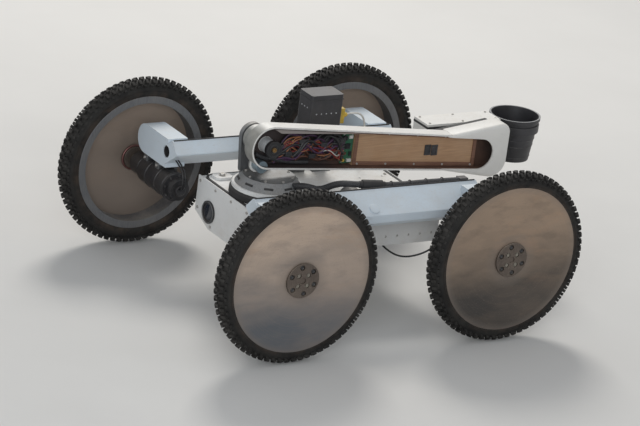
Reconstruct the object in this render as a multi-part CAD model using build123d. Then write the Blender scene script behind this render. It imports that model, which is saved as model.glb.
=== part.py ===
from build123d import *
import math
import os

# Planetary rover prototype: a four-wheeled rocker rover with its sampling arm stowed back over the deck.
# Millimetres. X forward, Y to the rover's left, Z up, floor at Z = 0.
# Shapes are drawn about the middle of the wheelbase and moved by ORIGIN_SHIFT when they are written.

FIT = 0.1
RUNNING_GAP = 0.05

# Wheels
AXLE_X = 270
AXLE_Z = 200
WHEEL_Y = 361
TYRE_R = 200
TREAD_R = 194
TREAD_BASE_R = 190
TREAD_HALF = 15
TYRE_BULGE_R = 176
TYRE_HALF = 24
KNOBS = 36
KNOB_LENGTH = 17
RIM_HALF = 21
BARREL_R = (143, 149.5)
LIP_R = 160
LIP_T = 3
DISC_R = 168
DISC_T = 3
HUB_R = 40
HUB_FACE = 29
BACK_FLANGE_R = 26
BACK_FLANGE_Y = 11
SPIGOT_R = 20
SHAFT_R = 10
SHAFT_REACH = 52

# Drive motors under the rocker ends, from the wheel inwards
GEARHEAD_R = 27
GEARHEAD_Y = (300, 345)
MOTOR_R = 32.5
MOTOR_Y = (178, 300)
PLUG_R = 24
PLUG_Y = (158, 178)
SHAFT_SOCKET_Y = 306

# Tub: a shallow folded tray whose sides turn in below the knee
TUB_HALF_X = 227
TUB_HALF_Y = 150
TUB_TOP = 236
TUB_KNEE = 157
TUB_FLOOR = 132
TUB_FLOOR_HALF = 85
WALL = 3
LIP = 14
PORT = (-88, 172)
PORT_R = 26
PORT_WINDOW_R = 21
PORT_DEPTH = 4
BATTERY_HALF = (150, 70)
BATTERY_TOP = 205

# Deck and what stands on it
DECK_T = 4
DECK_TOP = TUB_TOP + DECK_T
DECK_HALF = (218, 142)
DECK_CORNER = 24
SEAL_W = 6
CLAMP = (44, 34, 6)
CLAMP_AT = (188, 118)
CLAMP_CORNER = 8
MOUNT_X = (-195, -135)
MOUNT_Y = 50
MOUNT_HOLE_R = 2.75
RADIO_X = (-92, -8)
RADIO_Y = (-148, -92)
RADIO_Z = (318, 430)
RADIO_CORNER = 5
POST_X = (-84, -52)
POST_Y = (-124, -116)
POST_FOOT = 8
PLUG_BLOCK = ((-112, -92), (-128, -110), (352, 388))

# Rockers: a slanted beam along each side with an outward arm over each motor
BEAM_SECTION = ((155, 285), (182, 312), (240, 270), (240, 252), (226, 240), (214, 241))
BEAM_HALF_X = 290
BEAM_EDGE_R = 3
ARM_W = 50
ARM_Y = (200, 301)
ARM_Z = (241, 309)
SOCKET = (203, 279)
SOCKET_R = 14
SOCKET_DEPTH = 24
SADDLE_Y = (228, 282)
SADDLE_W = 18
SADDLE_LOW = 212
PIVOT_Z = 270
PIVOT_R = 12
PIVOT_HEAD_R = 16
PIVOT_HEAD_Y = (104, 108)
PIVOT_BOSS_R = 25
PIVOT_BOSS_Y = (112, 140)
PIVOT_END_Y = 226

# Loom: from a gland beside the turntable over to the left beam and back along its inner edge
LOOM_R = 6
LOOM_ROUTE = ((58, 86, 268), (48, 104, 301), (2, 150, 307), (-84, 163, 303), (-172, 161, 304), (-256, 162, 303))
GLAND = (18, 18, 22)

# Turret
TURRET_X = 140
TURRET_R = 86
TURRET_BEVEL = 4
BASE_TOP = 258
TABLE_Z = (259, 268)
SPINDLE_R = 30
SPINDLE_LOW = 243
PEDESTAL_R = (76, 60)
PEDESTAL_TOP = 288
CHEEK_Y = (-58, -46)
CHEEK_R = 30
CHEEK_FOOT_X = (118, 176)
CHEEK_FOOT_R = 12
CHEEK_LOW = 280

# Upper arm, stowed: shoulder and elbow axes run along Y, and the tray is open to the near side
SHOULDER = (165, 365)
SHOULDER_R = 50
SHOULDER_BOSS_R = 30
ELBOW = (-420, 309)
ELBOW_R = 41
CHANNEL_Y = (2, 36)
CHANNEL_WALL = 4
BOSS_BACK = -40
PIN_R = 17
PIN_Y = (-46, 45)
EAR = (180, 319)
EAR_R = 19
EAR_MOTOR_R = 14
EAR_MOTOR_END = 30
PANEL_X = (-395, -62)
PANEL_T = 12
FAIRING = ((-408, 316, 64), (-346, 316, 44))
FAIRING_HALF = 40
FAIRING_GAP = 0.3
ELBOW_PIN_R = 15
ELBOW_PIN_END = -112

# Forearm and bucket on the far side of the arm
FOREARM_X = (-500, -300)
FOREARM_Y = (-106, -46)
FOREARM_Z = (320, 352)
LID_T = 6
KNUCKLE_R = 26
BUCKET = (-560, -76)
BUCKET_Z = (252, 357)
BUCKET_R = (45, 58)
BUCKET_WALL = 2.5
BUCKET_FLOOR = 3
BUCKET_RIM_R = 60
BUCKET_RIM_H = 7
BAND_Z = (322, 340)
BAND_R = 59
BAND_LUG = ((-520, FOREARM_X[0]), (-98, -54), BAND_Z)

FRONT_REACH = AXLE_X + TYRE_R
REAR_REACH = -BUCKET[0] + BUCKET_RIM_R
ORIGIN_SHIFT = (REAR_REACH - FRONT_REACH) / 2

SIDES = (("left", 1), ("right", -1))
ENDS = (("front", 1), ("rear", -1))


def save(name, shape):
    """Write one node, moved so that the origin is under the middle of the whole rover."""
    export_step(Pos(ORIGIN_SHIFT, 0, 0) * shape, f"parts/{name}.step")


def block(x, y, z):
    """A box from three (low, high) pairs."""
    sizes = [high - low for low, high in (x, y, z)]
    middle = [(high + low) / 2 for low, high in (x, y, z)]
    return Pos(*middle) * Box(*sizes)


def rod_y(x, z, radius, y):
    """A round bar along Y between a (low, high) pair."""
    return Pos(x, sum(y) / 2, z) * Rot(90, 0, 0) * Cylinder(radius, y[1] - y[0])


def turned(points):
    """A ring turned about the Y axis from (radius, y) points."""
    return revolve(make_face(Polyline(*points, close=True)), Axis.Y)


def turned_z(points):
    """A ring turned about the Z axis from (radius, z) points."""
    return revolve(Plane.XZ * make_face(Polyline(*points, close=True)), Axis.Z)


def along_x(points, x, corner=0):
    """A prism along X between a (low, high) pair from (y, z) points."""
    face = make_face(Polyline(*points, close=True))
    if corner:
        face = fillet(face.vertices(), corner)
    return extrude(Plane.YZ.offset(x[0]) * face, x[1] - x[0])


def link(ends, y):
    """A plate between a (low, high) pair of Y whose outline is the hull of (x, z, radius) circles."""
    circles = [edge for x, z, r in ends for edge in (Pos(x, z) * Circle(r)).edges()]
    plate = extrude(Plane.XZ * make_hull(circles), y[1] - y[0])
    return Pos(0, y[1], 0) * plate


def other_side(shape, side):
    return shape if side > 0 else mirror(shape, about=Plane.XZ)


def both_sides(shape):
    return [other_side(shape, left) for _, left in SIDES]


# Wheels, drawn about their own axis with the outer side towards +Y

def tread():
    """A toothed band: square knobs with flat crowns at TYRE_R and plain gaps between them."""
    half = KNOB_LENGTH / 2
    tooth = [Vector(half, TREAD_R), Vector(half, TYRE_R), Vector(-half, TYRE_R), Vector(-half, TREAD_R)]
    outline = [corner.rotate(Axis.Z, 360 / KNOBS * i) for i in range(KNOBS) for corner in tooth]
    return extrude(Plane.XZ.offset(-TREAD_HALF) * make_face(Polyline(*outline, close=True)), 2 * TREAD_HALF)


def tyre():
    """A narrow tyre between the rim's lips, with a ring of square knobs across its tread."""
    bead = RIM_HALF - LIP_T - FIT
    inside, lip = BARREL_R[1] + FIT, LIP_R + FIT
    carcass = turned([
        (inside, -bead), (lip, -bead), (TYRE_BULGE_R, -TYRE_HALF), (TREAD_BASE_R, -TREAD_HALF),
        (TREAD_BASE_R, TREAD_HALF), (TYRE_BULGE_R, TYRE_HALF), (lip, bead), (inside, bead),
    ])
    return carcass + (tread() - rod_y(0, 0, TREAD_BASE_R, (-TREAD_HALF, TREAD_HALF)))


def rim():
    """A barrel with a turned-out lip at each side of the tyre."""
    inside, outside = BARREL_R
    seat = RIM_HALF - LIP_T
    return turned([
        (inside, -RIM_HALF), (LIP_R, -RIM_HALF), (LIP_R, -seat), (outside, -seat),
        (outside, seat), (LIP_R, seat), (LIP_R, RIM_HALF), (inside, RIM_HALF),
    ])


def disc():
    return turned([
        (SPIGOT_R, RIM_HALF), (DISC_R, RIM_HALF), (DISC_R, RIM_HALF + DISC_T), (SPIGOT_R, RIM_HALF + DISC_T),
    ])


def hub():
    """A shaft into the motor, a flange on each face of the disc and the spigot between them."""
    face = RIM_HALF + DISC_T
    spigot = SPIGOT_R - FIT
    return turned([
        (0, -SHAFT_REACH), (SHAFT_R, -SHAFT_REACH), (SHAFT_R, BACK_FLANGE_Y), (BACK_FLANGE_R, BACK_FLANGE_Y),
        (BACK_FLANGE_R, RIM_HALF), (spigot, RIM_HALF), (spigot, face), (HUB_R, face), (HUB_R, HUB_FACE),
        (0, HUB_FACE),
    ])


def write_wheels():
    pieces = {"tyre": tyre(), "rim": rim(), "disc": disc(), "hub": hub()}
    for end, forward in ENDS:
        for side, left in SIDES:
            for name, piece in pieces.items():
                placed = Pos(forward * AXLE_X, left * WHEEL_Y, AXLE_Z) * other_side(piece, left)
                save(f"{name}_{end}_{side}", placed)


# Drive motors and rockers, drawn for the left side

def motor(x):
    steps = ((GEARHEAD_R, GEARHEAD_Y), (MOTOR_R, MOTOR_Y), (PLUG_R, PLUG_Y))
    body = Part() + [rod_y(x, AXLE_Z, radius, y) for radius, y in steps]
    return body - rod_y(x, AXLE_Z, SHAFT_R + RUNNING_GAP, (SHAFT_SOCKET_Y, WHEEL_Y))


def arm_span(forward):
    """The (low, high) X of the outward arm at one end of a rocker."""
    return tuple(sorted((forward * BEAM_HALF_X, forward * (BEAM_HALF_X - ARM_W))))


def saddles(x, forward):
    """Two clamps that hang the motor under the rocker's arm."""
    clamps = [block(arm_span(forward), (y, y + SADDLE_W), (SADDLE_LOW, ARM_Z[0])) for y in SADDLE_Y]
    return [clamp - rod_y(x, AXLE_Z, MOTOR_R, (0, WHEEL_Y)) for clamp in clamps]


def rocker():
    beam = along_x(BEAM_SECTION, (-BEAM_HALF_X, BEAM_HALF_X), BEAM_EDGE_R)
    radius = (ARM_Z[1] - ARM_Z[0]) / 2
    for end, forward in ENDS:
        span = arm_span(forward)
        beam += block(span, ARM_Y, ARM_Z)
        beam += Pos(sum(span) / 2, ARM_Y[1], sum(ARM_Z) / 2) * Rot(0, 90, 0) * Cylinder(radius, ARM_W)
        beam -= Pos(forward * BEAM_HALF_X, *SOCKET) * Rot(0, 90, 0) * Cylinder(SOCKET_R, 2 * SOCKET_DEPTH)
    return beam - rod_y(0, PIVOT_Z, PIVOT_R + RUNNING_GAP, (PIVOT_BOSS_Y[0], PIVOT_END_Y + 2))


def pivot_block():
    half = PIVOT_BOSS_R
    body = block((-half, half), PIVOT_BOSS_Y, (DECK_TOP, PIVOT_Z)) + rod_y(0, PIVOT_Z, half, PIVOT_BOSS_Y)
    return body - rod_y(0, PIVOT_Z, PIVOT_R + RUNNING_GAP, (PIVOT_HEAD_Y[0], PIVOT_END_Y))


def pivot_shaft():
    shaft = rod_y(0, PIVOT_Z, PIVOT_R, (PIVOT_HEAD_Y[1], PIVOT_END_Y))
    return shaft + rod_y(0, PIVOT_Z, PIVOT_HEAD_R, PIVOT_HEAD_Y)


def write_running_gear():
    held = []
    for side, left in SIDES:
        save(f"rocker_{side}", other_side(rocker(), left))
        for end, forward in ENDS:
            x = forward * AXLE_X
            save(f"motor_{end}_{side}", other_side(motor(x), left))
            held += [other_side(clamp, left) for clamp in saddles(x, forward)]
    save("motor_saddles", Compound(children=held))
    save("pivot_blocks", Compound(children=both_sides(pivot_block())))
    save("pivot_shafts", Compound(children=both_sides(pivot_shaft())))


# Tub and deck

def tub_outline(inset, top):
    half = TUB_HALF_Y - inset
    low = TUB_FLOOR_HALF - 0.2 * inset
    knee = TUB_KNEE + 0.6 * inset
    floor = TUB_FLOOR + inset
    return [(half, top), (half, knee), (low, floor), (-low, floor), (-half, knee), (-half, top)]


def tub():
    ends = (-TUB_HALF_X, TUB_HALF_X)
    shell = along_x(tub_outline(0, TUB_TOP), ends)
    shell -= along_x(tub_outline(WALL, TUB_TOP - WALL), ends)
    edge = TUB_HALF_Y - LIP
    return shell - block(ends, (-edge, edge), (TUB_TOP - WALL - 1, TUB_TOP + 1))


def end_plate(forward):
    ends = sorted((forward * TUB_HALF_X, forward * (TUB_HALF_X + WALL)))
    return along_x(tub_outline(0, DECK_TOP), ends)


def front_port():
    """A round window in a raised ring on the front plate."""
    window = Pos(0, 0, PORT_DEPTH / 2) * Cylinder(PORT_WINDOW_R, PORT_DEPTH)
    ring = Cylinder(PORT_R, PORT_DEPTH) - window
    return Pos(TUB_HALF_X + WALL + PORT_DEPTH / 2, *PORT) * Rot(0, 90, 0) * ring


def deck():
    x, y = DECK_HALF
    plate = extrude(Pos(0, 0, TUB_TOP) * RectangleRounded(2 * x, 2 * y, DECK_CORNER), DECK_T)
    hole = Cylinder(MOUNT_HOLE_R, 4 * DECK_T)
    return plate - [Pos(hx, hy, DECK_TOP) * hole for hx in MOUNT_X for hy in (-MOUNT_Y, MOUNT_Y)]


def deck_seal():
    x, y = DECK_HALF
    outer = RectangleRounded(2 * (x + SEAL_W), 2 * (y + SEAL_W), DECK_CORNER + SEAL_W)
    ring = outer - RectangleRounded(2 * x, 2 * y, DECK_CORNER)
    return extrude(Pos(0, 0, TUB_TOP) * ring, DECK_T)


def deck_clamps():
    length, width, height = CLAMP
    tab = extrude(chamfer(Rectangle(length, width).vertices(), CLAMP_CORNER), height)
    x, y = CLAMP_AT
    return Compound(children=[Pos(cx, cy, DECK_TOP) * tab for cx in (-x, x) for cy in (-y, y)])


def battery():
    x, y = BATTERY_HALF
    return block((-x, x), (-y, y), (TUB_FLOOR + WALL, BATTERY_TOP))


def radio_stand():
    foot_x, foot_y = [(low - POST_FOOT, high + POST_FOOT) for low, high in (POST_X, POST_Y)]
    foot = block(foot_x, foot_y, (DECK_TOP, DECK_TOP + DECK_T))
    return foot + block(POST_X, POST_Y, (DECK_TOP, RADIO_Z[0]))


def radio_box():
    box = block(RADIO_X, RADIO_Y, RADIO_Z)
    return fillet(box.edges().filter_by(Axis.Z), RADIO_CORNER)


def bend_radii(route):
    """The largest round bend that each corner's shorter run leaves room for."""
    radii = []
    for before, corner, after in zip(route, route[1:], route[2:]):
        arrive, leave = corner - before, after - corner
        turn = math.radians(arrive.get_angle(leave))
        radii.append(0.45 * min(arrive.length, leave.length) / math.tan(turn / 2))
    return radii


def loom():
    route = [Vector(*point) for point in LOOM_ROUTE]
    path = FilletPolyline(*route, radius=bend_radii(route))
    return sweep(Plane(path @ 0, z_dir=path % 0) * Circle(LOOM_R), path=path)


def gland(end, before):
    """A block whose flat side meets an end of the loom."""
    out = (Vector(*end) - Vector(*before)).normalized()
    width, depth, length = GLAND
    return Plane(end, z_dir=out) * Pos(0, 0, length / 2) * Box(width, depth, length)


def loom_glands():
    """One gland stands on the deck, and the other is cut to sit on the left beam's inner edge."""
    first, second = LOOM_ROUTE[:2]
    last, before = LOOM_ROUTE[:-3:-1]
    seated = gland(last, before) - along_x(BEAM_SECTION, (-BEAM_HALF_X, BEAM_HALF_X))
    return Compound(children=[gland(first, second), seated])


def write_chassis():
    save("tub", tub())
    save("front_plate", end_plate(1))
    save("rear_plate", end_plate(-1))
    save("front_port", front_port())
    save("deck", deck())
    save("deck_seal", deck_seal())
    save("deck_clamps", deck_clamps())
    save("battery", battery())
    save("radio_stand", radio_stand())
    save("radio_box", radio_box())
    save("radio_plug", block(*PLUG_BLOCK))
    save("deck_loom", loom())
    save("loom_glands", loom_glands())


# Turret, turned about the vertical axis at TURRET_X

def turntable_base():
    bore, edge = SPINDLE_R + RUNNING_GAP, TURRET_R - TURRET_BEVEL
    shoulder = BASE_TOP - TURRET_BEVEL
    ring = turned_z([(bore, DECK_TOP), (TURRET_R, DECK_TOP), (TURRET_R, shoulder), (edge, BASE_TOP), (bore, BASE_TOP)])
    return Pos(TURRET_X, 0, 0) * ring


def turntable():
    low, top = TABLE_Z
    edge = TURRET_R - TURRET_BEVEL
    plate = turned_z([
        (0, SPINDLE_LOW), (SPINDLE_R, SPINDLE_LOW), (SPINDLE_R, low), (edge, low), (edge, top - 2),
        (edge - 2, top), (0, top),
    ])
    return Pos(TURRET_X, 0, 0) * plate


def shoulder_bracket():
    """A tapered pedestal with one cheek that carries the shoulder pin."""
    foot, crown = PEDESTAL_R
    low = TABLE_Z[1]
    pedestal = Pos(TURRET_X, 0, 0) * turned_z([(0, low), (foot, low), (crown, PEDESTAL_TOP), (0, PEDESTAL_TOP)])
    feet = [(x, PEDESTAL_TOP, CHEEK_FOOT_R) for x in CHEEK_FOOT_X]
    cheek = link([(*SHOULDER, CHEEK_R), *feet], CHEEK_Y)
    return pedestal + (cheek - block((0, 2 * TURRET_X), CHEEK_Y, (low, CHEEK_LOW)))


def write_turret():
    save("turntable_base", turntable_base())
    save("turntable", turntable())
    save("shoulder_bracket", shoulder_bracket())
    save("shoulder_pin", rod_y(*SHOULDER, PIN_R, PIN_Y))


# Upper arm: a tapering tray open to the near side

def tray_ends(grow):
    """The tray's two end circles, grown or shrunk."""
    return [(*SHOULDER, SHOULDER_R + grow), (*ELBOW, ELBOW_R + grow)]


def arm_channel():
    back, edge = CHANNEL_Y
    floor = back + CHANNEL_WALL
    tray = link(tray_ends(0), CHANNEL_Y)
    tray -= link(tray_ends(-CHANNEL_WALL), (floor, edge + 1))
    tray += link([(*EAR, EAR_R), (*SHOULDER, SHOULDER_BOSS_R)], (back, floor))
    tray += rod_y(*SHOULDER, SHOULDER_BOSS_R, (BOSS_BACK, floor))
    tray -= rod_y(*SHOULDER, PIN_R + RUNNING_GAP, CHEEK_Y[:1] + PIN_Y[1:])
    return tray - rod_y(*EAR, EAR_MOTOR_R + RUNNING_GAP, (floor, EAR_MOTOR_END))


def arm_panel():
    low = CHANNEL_Y[0] + CHANNEL_WALL
    plate = link(tray_ends(-CHANNEL_WALL - 1), (low, low + PANEL_T))
    return plate & block(PANEL_X, (low, low + PANEL_T), (ELBOW[1] - SHOULDER_R, SHOULDER[1] + SHOULDER_R))


def elbow_fairing():
    """A rounded cap over the end of the tray, cut to the tray's own outline."""
    cap = link(FAIRING, (-FAIRING_HALF, FAIRING_HALF))
    cap -= link(tray_ends(FAIRING_GAP), (CHANNEL_Y[0] - FAIRING_GAP, FAIRING_HALF + 1))
    return cap - rod_y(*ELBOW, ELBOW_PIN_R + FAIRING_GAP, (-FAIRING_HALF - 1, FAIRING_HALF))


def write_upper_arm():
    save("arm_channel", arm_channel())
    save("shoulder_motor", rod_y(*EAR, EAR_MOTOR_R, (CHANNEL_Y[0] + CHANNEL_WALL, EAR_MOTOR_END)))
    save("arm_panel", arm_panel())
    save("elbow_fairing", elbow_fairing())
    save("elbow_pin", rod_y(*ELBOW, ELBOW_PIN_R, (ELBOW_PIN_END, CHANNEL_Y[0])))


# Forearm and bucket

def forearm():
    body = block(FOREARM_X, FOREARM_Y, FOREARM_Z) + rod_y(*ELBOW, KNUCKLE_R, FOREARM_Y)
    return body - rod_y(*ELBOW, ELBOW_PIN_R + RUNNING_GAP, (ELBOW_PIN_END, 0))


def bucket_radius(z):
    low, high = BUCKET_Z
    return BUCKET_R[0] + (BUCKET_R[1] - BUCKET_R[0]) * (z - low) / (high - low)


def bucket():
    low, high = BUCKET_Z
    foot, mouth = BUCKET_R
    under_rim = high - BUCKET_RIM_H
    floor = low + BUCKET_FLOOR
    return Pos(*BUCKET, 0) * turned_z([
        (0, low), (foot, low), (bucket_radius(under_rim), under_rim), (BUCKET_RIM_R, under_rim),
        (BUCKET_RIM_R, high), (mouth - BUCKET_WALL, high), (foot - BUCKET_WALL, floor), (0, floor),
    ])


def bucket_band():
    """A hoop round the bucket, joined to the end of the forearm by a lug."""
    low, high = BAND_Z
    hoop = Pos(*BUCKET, 0) * turned_z([(bucket_radius(low), low), (BAND_R, low), (BAND_R, high), (bucket_radius(high), high)])
    inside = Pos(*BUCKET, 0) * turned_z([(0, low), (bucket_radius(low), low), (bucket_radius(high), high), (0, high)])
    return hoop + (block(*BAND_LUG) - inside)


def write_forearm():
    save("forearm", forearm())
    save("forearm_lid", block(FOREARM_X, FOREARM_Y, (FOREARM_Z[1], FOREARM_Z[1] + LID_T)))
    save("bucket", bucket())
    save("bucket_band", bucket_band())


os.makedirs("parts", exist_ok=True)
write_wheels()
write_running_gear()
write_chassis()
write_turret()
write_upper_arm()
write_forearm()
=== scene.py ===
import math
import random

import bmesh
import bpy
from mathutils import Matrix, Quaternion, Vector


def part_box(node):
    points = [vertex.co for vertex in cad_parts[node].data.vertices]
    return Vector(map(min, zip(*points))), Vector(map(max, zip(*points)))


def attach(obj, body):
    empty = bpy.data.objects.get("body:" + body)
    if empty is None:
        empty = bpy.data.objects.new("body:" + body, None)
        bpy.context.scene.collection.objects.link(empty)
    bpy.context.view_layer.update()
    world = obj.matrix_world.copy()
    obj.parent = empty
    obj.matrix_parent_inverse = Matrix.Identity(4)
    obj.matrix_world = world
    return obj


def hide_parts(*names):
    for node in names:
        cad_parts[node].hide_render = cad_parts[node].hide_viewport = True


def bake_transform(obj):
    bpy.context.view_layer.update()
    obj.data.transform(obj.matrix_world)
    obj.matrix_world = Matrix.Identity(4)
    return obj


# Planetary rover prototype, dressed over its packed construction.
# Metres. X forward, Y to the rover's left, Z up, floor at Z = 0.

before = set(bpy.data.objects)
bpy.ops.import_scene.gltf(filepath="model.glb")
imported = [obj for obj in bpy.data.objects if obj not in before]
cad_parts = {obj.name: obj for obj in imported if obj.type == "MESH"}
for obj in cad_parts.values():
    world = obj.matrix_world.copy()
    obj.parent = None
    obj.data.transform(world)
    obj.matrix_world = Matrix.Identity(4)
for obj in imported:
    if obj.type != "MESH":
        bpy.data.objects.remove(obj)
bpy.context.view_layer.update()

SIDES = {"left": 1, "right": -1}
ENDS = {"front": 1, "rear": -1}
WHEELS = [(end, side) for end in ENDS for side in SIDES]


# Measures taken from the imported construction

def centre(node):
    low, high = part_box(node)
    return (low + high) / 2


HUB_AT = {(end, side): centre(f"tyre_{end}_{side}") for end, side in WHEELS}
HUB_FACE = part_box("hub_front_left")[1].y - HUB_AT["front", "left"].y
DECK_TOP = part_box("deck")[1].z
TURRET_AT = centre("turntable")
SHOULDER_AT = centre("shoulder_pin")
ELBOW_AT = centre("elbow_pin")
BUCKET_AT = centre("bucket")


# Hand tools

def select_only(piece):
    bpy.ops.object.select_all(action="DESELECT")
    piece.select_set(True)
    bpy.context.view_layer.objects.active = piece


def turn_by(thing, turn):
    """Turns a thing by a quaternion."""
    thing.rotation_mode = "QUATERNION"
    thing.rotation_quaternion = turn


def settle(piece):
    """Puts the object at the origin, with its place in its mesh."""
    select_only(piece)
    bpy.ops.object.transform_apply(location=True, rotation=True, scale=True)


def open_faces(piece, action="DESELECT"):
    """Edit mode on one piece, with nothing picked yet, or all of it."""
    select_only(piece)
    bpy.ops.object.mode_set(mode="EDIT")
    bpy.ops.mesh.select_mode(type="FACE")
    bpy.ops.mesh.select_all(action=action)


def pick(test):
    """Picks the faces of the open piece whose middle and normal pass the test."""
    data = bpy.context.object.data
    bpy.ops.mesh.select_all(action="DESELECT")
    mesh = bmesh.from_edit_mesh(data)
    for face in mesh.faces:
        if test(face.calc_center_median(), face.normal):
            face.select_set(True)
    bmesh.update_edit_mesh(data)


SAME_WAY = 0.9


def pick_towards(direction):
    """Picks the faces that look one way, within about 25 degrees."""
    pick(lambda at, facing: facing.dot(Vector(direction)) > SAME_WAY)


def push(distance):
    """Extrudes the picked faces along their normals."""
    bpy.ops.mesh.extrude_region_shrink_fatten(TRANSFORM_OT_shrink_fatten={"value": distance})


def close_faces():
    bpy.ops.object.mode_set(mode="OBJECT")


def stepped(piece, direction, steps):
    """Insets and extrudes the end that looks one way, in (inset, push) steps."""
    open_faces(piece)
    pick_towards(direction)
    for inset, distance in steps:
        bpy.ops.mesh.inset(thickness=inset)
        push(distance)
    close_faces()
    return piece


def apply_modifier(piece, kind, **values):
    select_only(piece)
    modifier = piece.modifiers.new(kind.title(), kind)
    for name, value in values.items():
        setattr(modifier, name, value)
    bpy.ops.object.modifier_apply(modifier=modifier.name)


SAME_POINT = 0.000001
CUT_SLIVER = 0.00002


def round_edges(piece, width, segments=2, angle=35):
    apply_modifier(piece, "BEVEL", width=width, segments=segments, limit_method="ANGLE",
                   angle_limit=math.radians(angle))
    apply_modifier(piece, "WELD", merge_threshold=SAME_POINT)
    return piece


def cut_away(piece, cutter):
    apply_modifier(piece, "BOOLEAN", operation="DIFFERENCE", object=cutter)
    apply_modifier(piece, "WELD", merge_threshold=CUT_SLIVER)
    bpy.data.objects.remove(cutter)
    return piece


def block(low, high):
    """A box between two corners."""
    low, high = Vector(low), Vector(high)
    bpy.ops.mesh.primitive_cube_add(size=1, location=(low + high) / 2)
    piece = bpy.context.object
    piece.scale = high - low
    settle(piece)
    return piece


def rod(start, end, radius, sides=48):
    """A round bar from one point to another."""
    start, end = Vector(start), Vector(end)
    bpy.ops.mesh.primitive_cylinder_add(vertices=sides, radius=radius, depth=(end - start).length,
                                        location=(start + end) / 2)
    piece = bpy.context.object
    turn_by(piece, (end - start).to_track_quat("Z", "Y"))
    settle(piece)
    return piece


def hoop(place, direction, radius, thickness, sides=64, section=10):
    """A round ring about a direction."""
    bpy.ops.mesh.primitive_torus_add(location=place, major_segments=sides, minor_segments=section,
                                     major_radius=radius, minor_radius=thickness)
    piece = bpy.context.object
    turn_by(piece, Vector(direction).to_track_quat("Z", "Y"))
    settle(piece)
    return piece


def duplicate(piece, shift, turn=None):
    """A copy with its own mesh, turned by a quaternion about the origin and then shifted."""
    select_only(piece)
    bpy.ops.object.duplicate()
    twin = bpy.context.object
    twin.location = shift
    if turn:
        turn_by(twin, turn)
    settle(twin)
    return twin


def join(pieces):
    bpy.ops.object.select_all(action="DESELECT")
    for piece in pieces:
        piece.select_set(True)
    bpy.context.view_layer.objects.active = pieces[0]
    bpy.ops.object.join()
    return bpy.context.object


def fix(piece, name, paint, body="chassis", smooth=35):
    """Names a piece, gives it its finish, and fixes it to its body, if it is given one."""
    piece.name = name
    piece.data.name = name
    piece.data.materials.clear()
    piece.data.materials.append(paint)
    select_only(piece)
    bpy.ops.object.shade_smooth_by_angle(angle=math.radians(smooth))
    if body:
        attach(piece, body)
    return piece


def scatter(model, spots):
    """Copies of a small model, drawn at the origin along +Z, at each (place, direction)."""
    twins = [duplicate(model, place, Vector(facing).to_track_quat("Z", "Y")) for place, facing in spots]
    bpy.data.objects.remove(model)
    return join(twins)


def ring_spots(middle, radius, count, out, start):
    """Places round an axis that lies along Y or Z, all facing out along it."""
    spots = []
    for i in range(count):
        turn = start + 2 * math.pi * i / count
        across, up = radius * math.cos(turn), radius * math.sin(turn)
        offset = Vector((across, up, 0)) if abs(out[2]) > 0.5 else Vector((across, 0, up))
        spots.append((Vector(middle) + offset, out))
    return spots


def cap_screw(radius, height):
    """A socket screw's head, sunk a little into what it holds."""
    screw = rod((0, 0, -0.3 * height), (0, 0, height), radius, 20)
    stepped(screw, (0, 0, 1), ((0.42 * radius, -0.55 * height),))
    return round_edges(screw, 0.1 * radius, 1)


def hex_bolt(radius, height):
    """A hexagon head on a washer."""
    washer = rod((0, 0, -0.2 * height), (0, 0, 0.18 * height), 1.35 * radius, 24)
    head = round_edges(rod((0, 0, 0), (0, 0, height), radius, 6), 0.08 * radius, 1)
    return join([head, washer])


def dome_rivet(radius, height):
    rivet = rod((0, 0, -0.3 * height), (0, 0, 0.5 * height), radius, 14)
    open_faces(rivet)
    pick_towards((0, 0, 1))
    bpy.ops.mesh.inset(thickness=0.4 * radius)
    bpy.ops.transform.translate(value=(0, 0, 0.5 * height))
    close_faces()
    return rivet


def wires(name, routes, radius, paint, body="chassis"):
    """Round leads along smooth lines that their control points steer."""
    curve = bpy.data.curves.new(name, "CURVE")
    curve.dimensions = "3D"
    curve.bevel_depth = radius
    curve.bevel_resolution = 2
    curve.resolution_u = 6
    curve.use_fill_caps = True
    for route in routes:
        spline = curve.splines.new("NURBS")
        spline.points.add(len(route) - 1)
        for point, place in zip(spline.points, route):
            point.co = (*place, 1)
        spline.order_u = 3
        spline.use_endpoint_u = True
    piece = bpy.data.objects.new(name, curve)
    bpy.context.scene.collection.objects.link(piece)
    select_only(piece)
    bpy.ops.object.convert(target="MESH")
    return fix(bpy.context.object, name, paint, body, 60)


# Finishes

ORIGIN = (0, 0, 0)
DUST = (0.5, 0.42, 0.33)


def shade(colour, factor):
    return tuple(min(1.0, factor * channel) for channel in colour)


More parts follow.
